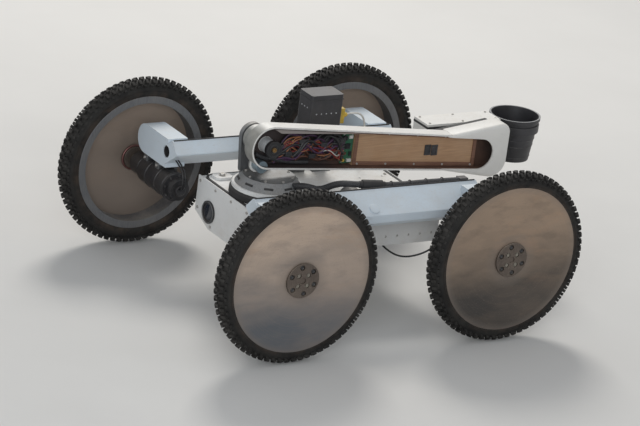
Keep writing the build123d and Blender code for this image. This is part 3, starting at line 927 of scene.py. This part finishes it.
HOSE_ROUTE = (
    (0.183, 0.056, 0.279), (0.169, 0.078, 0.288), (0.135, 0.088, 0.2765), (0.112, 0.122, 0.306),
    (0.077, 0.15, 0.31), (-0.009, 0.163, 0.306), (-0.097, 0.161, 0.3065), (-0.181, 0.162, 0.305),
)
HOSE_R = 0.0075
HOSE_TIES = ((-0.005, 0.1608, 0.3067), (-0.053, 0.162, 0.3063), (-0.0965, 0.1614, 0.3062),
             (-0.139, 0.1615, 0.3058))
TIE_HEAD = 0.0035
SPLICE = ((0.066, 0.1494, 0.3089), (0.018, 0.1585, 0.3075))
SPLICE_R = 0.0112
UNDER_LEAD = ((-0.04, 0.105, 0.1395), (-0.052, 0.112, 0.126), (-0.085, 0.128, 0.112), (-0.13, 0.145, 0.125),
              (-0.159, 0.16, 0.156), (-0.183, 0.166, 0.18))


def write_hose():
    """The sleeved hose over the left beam, its ties and splice, and the leads under the tub.

    It is fixed to no body.
    """
    hose = wires("deck_hose", [HOSE_ROUTE], HOSE_R, SLEEVE, None)
    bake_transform(hose)
    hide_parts("deck_loom")
    tie = join([hoop(ORIGIN, (0, 0, 1), HOSE_R + 0.0008, 0.0011, 32, 8),
                block((HOSE_R, -0.002, -0.002), (HOSE_R + TIE_HEAD, 0.002, 0.002))])
    ties = scatter(tie, [(place, (-1, 0, 0)) for place in HOSE_TIES])
    fix(ties, "hose_ties", BLACK_PLASTIC)
    splice = rod(*SPLICE, SPLICE_R, 40)
    open_faces(splice)
    pick(lambda at, facing: abs(facing.x) > SAME_WAY)
    bpy.ops.mesh.inset(thickness=0.003, use_individual=True)
    push(0.007)
    close_faces()
    fix(round_edges(splice, 0.003, 3), "hose_splice", SEAL_BLACK)
    for side, out in SIDES.items():
        route = [(x, out * y, z) for x, y, z in UNDER_LEAD]
        wires(f"under_lead_{side}", [route], THIN_LEAD_R, WIRE["black"])


# Turret

PEDESTAL_TOP = 0.288
PEDESTAL_SCREW_RING = 0.053
SLOTS = 9
SLOT_FIRST, SLOT_PITCH = 20, 40
SLOT_RING = (0.0686, 0.2775)
SLOT_SLOPE = (0.78, 0.625)
PIN_CAP_R = 0.0196
PIN_CAP_PROUD = 0.0024
PIN_CAP_RINGS = ((0.003, -0.0014), (0.005, 0.0008), (0.004, -0.0012))
PIN_PLUG_R = 0.0052


def write_turret():
    """Slots and screws round the pedestal, and the cap and brass plug on the shoulder pin's near end."""
    x, y = TURRET_AT.x, TURRET_AT.y
    slot = round_edges(block((-0.0105, -0.0026, -0.0006), (0.0105, 0.0026, 0.0007)), 0.0008, 2)
    spots = []
    for i in range(SLOTS):
        turn = math.radians(SLOT_FIRST + SLOT_PITCH * i)
        outwards = Vector((math.cos(turn), math.sin(turn), 0))
        place = Vector((x, y, SLOT_RING[1])) + outwards * SLOT_RING[0]
        spots.append((place, outwards * SLOT_SLOPE[0] + Vector((0, 0, SLOT_SLOPE[1]))))
    fix(scatter(slot, spots), "pedestal_slots", SEAL_BLACK, "turret")
    spots = ring_spots((x, y, PEDESTAL_TOP), PEDESTAL_SCREW_RING, 8, (0, 0, 1), 0.1)
    write_screws("pedestal_screws", spots, "turret")
    seat = Vector((SHOULDER_AT.x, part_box("shoulder_pin")[1].y, SHOULDER_AT.z))
    cap = rod(seat - Vector((0, 0.008, 0)), seat + Vector((0, PIN_CAP_PROUD, 0)), PIN_CAP_R, 56)
    stepped(cap, (0, 1, 0), PIN_CAP_RINGS)
    fix(round_edges(cap, 0.0007), "shoulder_cap", MOTOR_BLACK, "turret")
    plug = rod(seat, seat + Vector((0, 2 * PIN_CAP_PROUD, 0)), PIN_PLUG_R, 24)
    stepped(plug, (0, 1, 0), ((0.0014, -0.003),))
    fix(round_edges(plug, 0.0005), "shoulder_plug", BRASS, "turret")


# Upper arm

TRAY_ROUNDS = ((SHOULDER_AT.x, SHOULDER_AT.z, 0.05), (ELBOW_AT.x, ELBOW_AT.z, 0.041))
TRAY_WALL = 0.004
TRAY_BACK, TRAY_EDGE = (corner.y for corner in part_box("arm_channel"))
TRAY_FLOOR = TRAY_EDGE - 0.03
LINING_EDGE = TRAY_EDGE - 0.0006
LINING_THICKNESS = 0.0007
PIN_HOLE_R = 0.018
PANEL_LOW, PANEL_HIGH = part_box("arm_panel")
FRAME_RAILS = ((1, 0.006), (-1, 0.009))
FRAME_RAIL_INSET = 0.0016
FRAME_RAIL_DEPTH = 0.0032
FRAME_END_WIDTH, FRAME_END_DEPTH = 0.009, 0.0026
PANEL_SCREW_ROWS = ((1, 0.0046), (-1, 0.0061))
PANEL_SCREW_COLUMNS = 5


def tray_line(x):
    """The tray's middle height and the half height of its inside at a place along it."""
    (x_0, z_0, radius_0), (x_1, z_1, radius_1) = TRAY_ROUNDS
    share = (x_0 - x) / (x_0 - x_1)
    return z_0 + (z_1 - z_0) * share, radius_0 + (radius_1 - radius_0) * share - TRAY_WALL


def slab(rounds, low_y, high_y, grow=0.0):
    """A plate between two depths whose outline wraps (x, z, radius) circles."""
    piece = join([rod((x, low_y, z), (x, high_y, z), radius + grow, 96) for x, z, radius in rounds])
    open_faces(piece, "SELECT")
    bpy.ops.mesh.convex_hull()
    close_faces()
    return piece


def flat_bar(start, end, width, thickness):
    """A flat strip between two points on a wall that looks towards +Y."""
    run = Vector(end) - Vector(start)
    half = 0.5 * run.length
    bar = round_edges(block((-half, 0, -0.5 * width), (half, thickness, 0.5 * width)), 0.0006, 2)
    slope = Matrix.Rotation(-math.atan2(run.z, run.x), 3, "Y").to_quaternion()
    placed = duplicate(bar, (Vector(start) + Vector(end)) / 2, slope)
    bpy.data.objects.remove(bar)
    return placed


def write_tray():
    """The brown lining of the tray, and the frame round its panel with its screws."""
    lining = slab(TRAY_ROUNDS, TRAY_FLOOR, LINING_EDGE, -TRAY_WALL)
    stepped(lining, (0, 1, 0), ((LINING_THICKNESS, TRAY_FLOOR + LINING_THICKNESS - LINING_EDGE),))
    pin = Vector((SHOULDER_AT.x, TRAY_FLOOR, SHOULDER_AT.z))
    cut_away(lining, rod(pin - Vector((0, 0.004, 0)), pin + Vector((0, 0.006, 0)), PIN_HOLE_R))
    fix(lining, "tray_lining", TRAY_LINING, "upper_arm")
    low, high, face = PANEL_LOW.x, PANEL_HIGH.x, PANEL_HIGH.y - 0.0002
    bars = []
    for up, width in FRAME_RAILS:
        ends = []
        for x in (low + 0.001, high - 0.001):
            middle, half = tray_line(x)
            ends.append((x, face, middle + up * (half - 0.5 * width - FRAME_RAIL_INSET)))
        bars.append(flat_bar(*ends, width, FRAME_RAIL_DEPTH))
    for x in (low + 0.005, high - 0.005):
        middle, half = tray_line(x)
        foot, head = (x, face, middle - half + 0.004), (x, face, middle + half - 0.004)
        bars.append(flat_bar(foot, head, FRAME_END_WIDTH, FRAME_END_DEPTH))
    fix(join(bars), "panel_frame", BROWN_FRAME, "upper_arm")
    spots = []
    for i in range(PANEL_SCREW_COLUMNS):
        x = low + 0.012 + (high - low - 0.024) * i / (PANEL_SCREW_COLUMNS - 1)
        middle, half = tray_line(x)
        spots += [((x, face + FRAME_RAIL_DEPTH, middle + up * (half - inset)), (0, 1, 0))
                  for up, inset in PANEL_SCREW_ROWS]
    write_screws("panel_screws", spots, "upper_arm")


PANEL_SOCKETS = (-0.2062, -0.1878)
PANEL_SOCKET_HALF = (0.0082, 0.0125)


def write_panel_sockets():
    """The dark double socket on the panel."""
    face, sockets = PANEL_HIGH.y, []
    wide, tall = PANEL_SOCKET_HALF
    for x in PANEL_SOCKETS:
        middle, _ = tray_line(x)
        socket = block((x - wide, face - 0.001, middle - tall), (x + wide, face + 0.0022, middle + tall))
        stepped(socket, (0, 1, 0), ((0.0022, -0.0016), (0.003, 0.0006)))
        sockets.append(round_edges(socket, 0.0005, 1))
    fix(join(sockets), "panel_sockets", BLACK_PLASTIC, "upper_arm")


BOARD_X = (0.016, 0.046)
BOARD_RISE = 0.012
BOARD_THICKNESS = 0.0016
BOARD_MARGIN = 0.006
BOARD_PARTS = (
    # place along the arm, height over the board's middle, width, height, depth, finish
    (0.024, 0.026, 0.01, 0.008, 0.003, "white"),
    (0.038, 0.024, 0.008, 0.01, 0.0045, "black"),
    (0.03, 0.004, 0.013, 0.013, 0.0022, "black"),
    (0.022, -0.014, 0.006, 0.01, 0.003, "black"),
    (0.038, -0.012, 0.009, 0.006, 0.0035, "brown"),
    (0.024, -0.029, 0.011, 0.007, 0.005, "white"),
    (0.04, -0.028, 0.006, 0.006, 0.006, "yellow"),
)
POST_R = 0.0022
POST_INSET = 0.004


def write_board():
    """The circuit board across the tray, its chips and plugs, and the posts that hold it."""
    low, high = BOARD_X
    middle, half = tray_line((low + high) / 2)
    face = TRAY_FLOOR + BOARD_RISE
    tall = half - BOARD_MARGIN
    board = block((low, face - BOARD_THICKNESS, middle - tall), (high, face, middle + tall))
    fix(round_edges(board, 0.0006, 1), "arm_board", BOARD, "upper_arm")
    for i, (x, up, width, height, depth, colour) in enumerate(BOARD_PARTS):
        corner = Vector((x - width / 2, face - 0.0005, middle + up - height / 2))
        chip = block(corner, (x + width / 2, face + depth, middle + up + height / 2))
        stepped(chip, (0, 1, 0), ((0.0012, -0.0008),))
        fix(round_edges(chip, 0.0003, 1), f"board_part_{i + 1}", WIRE[colour], "upper_arm")
    reach = tall - POST_INSET
    posts = [rod((x, TRAY_FLOOR, z), (x, face + 0.001, z), POST_R, 12)
             for x in (low + POST_INSET, high - POST_INSET) for z in (middle - reach, middle + reach)]
    fix(join(posts), "board_posts", ZINC, "upper_arm")


HARNESS = (
    # finish, how many, radius, reach from the tray's middle
    ("black", 11, 0.0032, 0.034),
    ("purple", 7, 0.0022, 0.035),
    ("brown", 9, 0.0018, 0.035),
    ("red", 6, 0.0013, 0.032),
    ("orange", 5, 0.0012, 0.03),
    ("yellow", 1, 0.0012, 0.026),
    ("white", 1, 0.0011, 0.024),
)
HARNESS_START = (0.221, 0.338)
HARNESS_X = (0.2, 0.174, 0.146, 0.116, 0.088, 0.064)
HARNESS_LANDINGS = ((0.05, 0.014), (0.04, 0.0095))
LEAD_PLUGS = ((0.19, -0.014), (0.158, 0.016), (0.128, -0.018), (0.1, 0.01))
ARM_SLEEVE = ((0.27, 0.016, 0.348), (0.25, 0.018, 0.337), (0.226, 0.02, 0.335), (0.2, 0.02, 0.327),
              (0.17, 0.018, 0.321), (0.13, 0.016, 0.318))
ARM_SLEEVE_R = 0.005


def write_harness():
    """The tangle of leads between the shoulder and the board, inside the tray."""
    floor, edge = TRAY_FLOOR + 0.004, TRAY_EDGE - 0.003
    start_x, start_z = HARNESS_START
    for colour, count, radius, spread in HARNESS:
        routes = []
        for _ in range(count):
            depth = random.uniform(floor, floor + 0.012)
            route = [(start_x, depth, start_z + random.uniform(-0.016, 0.008))]
            for x in HARNESS_X:
                middle, half = tray_line(x)
                reach = min(spread, half - 0.008)
                along = x + random.uniform(-0.008, 0.008)
                depth = random.uniform(floor + 0.003, edge - radius)
                route.append((along, depth, middle + random.uniform(-reach, reach)))
            landing = tray_line(0.045)[0] + random.uniform(-0.03, 0.03)
            route += [(x, floor + rise, landing) for x, rise in HARNESS_LANDINGS]
            routes.append(route)
        wires(f"arm_leads_{colour}", routes, radius, WIRE[colour], "upper_arm")
    plugs = []
    for x, up in LEAD_PLUGS:
        z = tray_line(x)[0] + up
        plug = block((x - 0.008, edge - 0.012, z - 0.005), (x + 0.008, edge - 0.002, z + 0.005))
        stepped(plug, (-1, 0, 0), ((0.0014, -0.003),))
        plugs.append(round_edges(plug, 0.0006, 1))
    fix(join(plugs), "arm_lead_plugs", BLACK_PLASTIC, "upper_arm")
    wires("arm_sleeve", [ARM_SLEEVE], ARM_SLEEVE_R, SLEEVE, "upper_arm")


# Elbow, forearm and bucket

CAP_ROUNDS = ((-0.245, 0.3186, 0.0447), (-0.3745, 0.3575, 0.0225), (-0.357, 0.292, 0.04))
CAP_LOW, CAP_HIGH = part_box("elbow_fairing")
CAP_BACK = -0.004
CAP_ROUNDING = 0.0075
CAP_MOUTH = (-0.318, 0.3116, 0.036)
SHADOW_COLLAR_INSET = 0.013
SEAM_GAP = 0.0003
ELBOW_PIN_R = 0.015


def write_elbow():
    """The rounded cap over the arm's end, open at a mouth on its near face, and a recessed dark collar
    behind it, black as painted shadow.
    """
    cap = slab(CAP_ROUNDS, CAP_BACK - CAP_ROUNDING, CAP_HIGH.y)
    open_faces(cap, "SELECT")
    bpy.ops.mesh.dissolve_limited(angle_limit=math.radians(1))
    close_faces()
    round_edges(cap, CAP_ROUNDING, 5)
    behind = block((CAP_LOW.x - 0.05, CAP_BACK - 0.02, CAP_LOW.z - 0.05),
                   (CAP_HIGH.x + 0.05, CAP_BACK, CAP_HIGH.z + 0.05))
    cut_away(cap, behind)
    # The black collar is painted shadow for the gap in front of the forearm.
    shadow_band = slab(CAP_ROUNDS, CAP_LOW.y, CAP_BACK + 0.001, -SHADOW_COLLAR_INSET)
    back = Vector((ELBOW_AT.x, CAP_LOW.y - 0.002, ELBOW_AT.z))
    for piece in (cap, shadow_band):
        cut_away(piece, rod(back, back + Vector((0, 0.05, 0)), ELBOW_PIN_R + SEAM_GAP, 48))
    cut_away(cap, slab(TRAY_ROUNDS, TRAY_BACK - SEAM_GAP, TRAY_EDGE + SEAM_GAP, SEAM_GAP))
    mouth = ((SHOULDER_AT.x, SHOULDER_AT.z, TRAY_ROUNDS[0][2] - TRAY_WALL), CAP_MOUTH)
    cut_away(cap, slab(mouth, TRAY_EDGE - 0.002, CAP_HIGH.y + 0.002))
    fix(round_edges(cap, 0.0006, 2, 50), "elbow_cap", WHITE_ARM, "upper_arm")
    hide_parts("elbow_fairing")
    fix(round_edges(shadow_band, 0.0006, 2, 50), "elbow_shadow_collar", SEAL_BLACK, "upper_arm")


LID_SCREW_INSET = (0.01, 0.008)


def write_forearm():
    """A dark strip under the forearm's lid, painted shadow for the gap line there, and the lid's screws."""
    low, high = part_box("forearm_lid")
    # Painted shadow: a black strip standing for the dark gap under the lid.
    shadow_band = block((low.x + 0.0002, low.y - 0.0004, low.z - 0.005),
                 (high.x + 0.0004, high.y + 0.0004, low.z + 0.0002))
    fix(round_edges(shadow_band, 0.0004, 1), "forearm_shadow_strip", SEAL_BLACK, "forearm_body")
    along, across = LID_SCREW_INSET
    spots = [((x, y, high.z), (0, 0, 1)) for x in (low.x + along, (low.x + high.x) / 2, high.x - along)
             for y in (low.y + across, high.y - across)]
    write_screws("lid_screws", spots, "forearm_body")


BUCKET_RIM = (0.058, 0.0018)
BUCKET_FOOT_R = 0.045
BUCKET_FLARE = 0.1238
BUCKET_RIBS = (0.262, 0.29, 0.306)
BUCKET_RIB_R = 0.0009
BAND_SCREWS = ((-0.437, -0.09, 0.34), (-0.437, -0.062, 0.34))


def write_bucket():
    """The worn rim of the bucket, its pale ring partly a painted highlight, the ribs of the bucket, and the
    screws in the band that holds it.
    """
    low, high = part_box("bucket")
    x, y, up = BUCKET_AT.x, BUCKET_AT.y, (0, 0, 1)
    # Pale ring on the rim top: wear and painted highlight.
    rim = hoop((x, y, high.z - 0.0014), up, *BUCKET_RIM, 96, 10)
    fix(rim, "bucket_rim_wear_and_highlight", PALE_PLASTIC, "forearm_body")
    ribs = [hoop((x, y, z), up, BUCKET_FOOT_R + BUCKET_FLARE * (z - low.z), BUCKET_RIB_R, 80, 8)
            for z in BUCKET_RIBS]
    fix(join(ribs), "bucket_ribs", BLACK_PLASTIC, "forearm_body")
    write_screws("band_screws", [(place, up) for place in BAND_SCREWS], "forearm_body")


# Camera, light and floor

CAMERA_AT = Vector((4.888, 7.271, 3.372))
AIM_AT = Vector((0.067, 0.0, 0.184))
CAMERA_ROLL = math.radians(7.66)
LENS_MM = 232
SENSOR_MM = 36


def write_camera():
    camera = bpy.data.objects.new("Camera", bpy.data.cameras.new("Camera"))
    bpy.context.scene.collection.objects.link(camera)
    camera.data.lens = LENS_MM
    camera.data.sensor_width = SENSOR_MM
    camera.data.clip_end = 60
    camera.location = CAMERA_AT
    level = (AIM_AT - CAMERA_AT).to_track_quat("-Z", "Y").to_matrix()
    turn_by(camera, (level @ Matrix.Rotation(CAMERA_ROLL, 3, "Z")).to_quaternion())
    bpy.context.scene.camera = camera


def soft_light(name, at, size, power, tint):
    lamp = bpy.data.objects.new(name, bpy.data.lights.new(name, "AREA"))
    bpy.context.scene.collection.objects.link(lamp)
    lamp.data.size = size
    lamp.data.energy = power
    lamp.data.color = tint
    lamp.location = at
    turn_by(lamp, (AIM_AT - Vector(at)).to_track_quat("-Z", "Y"))


def write_light():
    """A high key behind the rover, a broad fill on its near side, and a pale room to reflect."""
    soft_light("Sun side", (-1.2, -2.6, 3.4), 1.4, 95, (1.0, 0.97, 0.92))
    soft_light("Sky side", (3.0, 4.4, 2.0), 3.0, 105, (0.93, 0.97, 1.0))
    world = bpy.data.worlds.new("Room")
    bpy.context.scene.world = world
    world.use_nodes = True
    nodes, links = world.node_tree.nodes, world.node_tree.links
    around = nodes["Background"]
    behind, mixer = nodes.new("ShaderNodeBackground"), nodes.new("ShaderNodeMixShader")
    around.inputs["Color"].default_value = (0.93, 0.96, 1.0, 1)
    around.inputs["Strength"].default_value = 0.42
    behind.inputs["Color"].default_value = (0.9, 0.9, 0.9, 1)
    path = nodes.new("ShaderNodeLightPath")
    seen = path.outputs["Is Camera Ray"]
    for ray in ("Is Glossy Ray", "Is Transmission Ray"):
        either = nodes.new("ShaderNodeMath")
        either.operation = "MAXIMUM"
        links.new(seen, either.inputs[0])
        links.new(path.outputs[ray], either.inputs[1])
        seen = either.outputs[0]
    links.new(seen, mixer.inputs[0])
    links.new(around.outputs[0], mixer.inputs[1])
    links.new(behind.outputs[0], mixer.inputs[2])
    links.new(mixer.outputs[0], nodes["World Output"].inputs["Surface"])


def write_floor():
    bpy.ops.mesh.primitive_plane_add(size=24, location=(0, 0, 0))
    floor = bpy.context.object
    floor.name = "floor"
    settle(floor)
    paint = Finish("Pale floor", 0.9)
    paint.colour(paint.mottled((0.7, 0.69, 0.67), (0.72, 0.71, 0.69), 3))
    floor.data.materials.append(paint.material)


bpy.context.scene.view_settings.view_transform = "Standard"
random.seed(5)
write_camera()
write_light()
write_floor()
dress_construction()
write_tyres()
write_hubs()
write_motors()
write_rockers()
write_tub()
write_deck()
write_radio()
write_hose()
write_turret()
write_tray()
write_panel_sockets()
write_board()
write_harness()
write_elbow()
write_forearm()
write_bucket()
